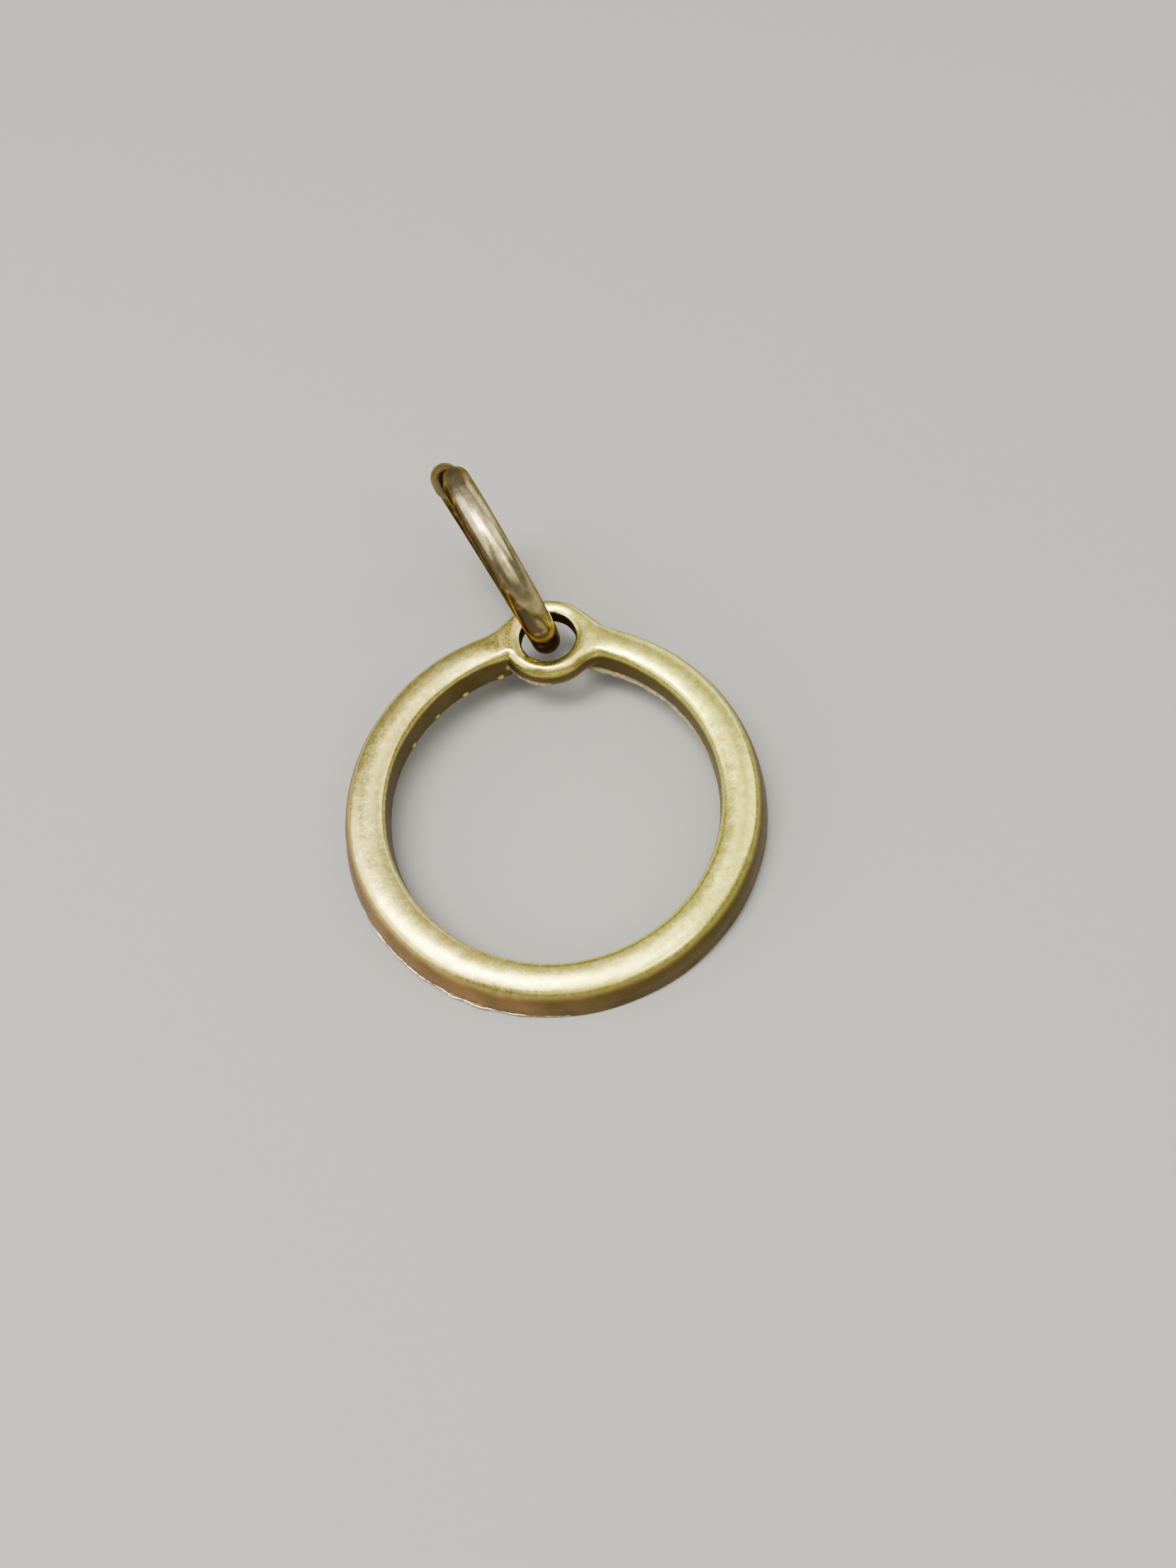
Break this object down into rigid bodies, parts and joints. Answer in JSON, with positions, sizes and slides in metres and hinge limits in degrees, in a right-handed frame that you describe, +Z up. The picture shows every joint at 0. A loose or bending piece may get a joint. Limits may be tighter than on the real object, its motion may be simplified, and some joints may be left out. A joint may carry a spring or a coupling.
{
  "type": "open circle pendant",
  "caption": "Small cast open circle with an eyelet in its upper end and a round-wire jump ring through the eyelet, lying face up.",
  "frame": {"origin": "under the middle of the whole pendant's box, on the surface that it lies on", "axes": "+Z up from the surface, out of the circle's front; +Y from the circle's centre towards its eyelet and jump ring; the circle's upper end is lifted 5.6 degrees by the jump ring under it"},
  "size_m": [0.015, 0.0202, 0.0079],
  "materials": {
    "satin_gold": "satin cast, pale yellow gold colour",
    "polished_gold": "polished wire, yellow gold colour"
  },
  "bodies": {
    "root": {"open_circle": "satin_gold", "jump_ring": "polished_gold"}
  },
  "joints": []
}
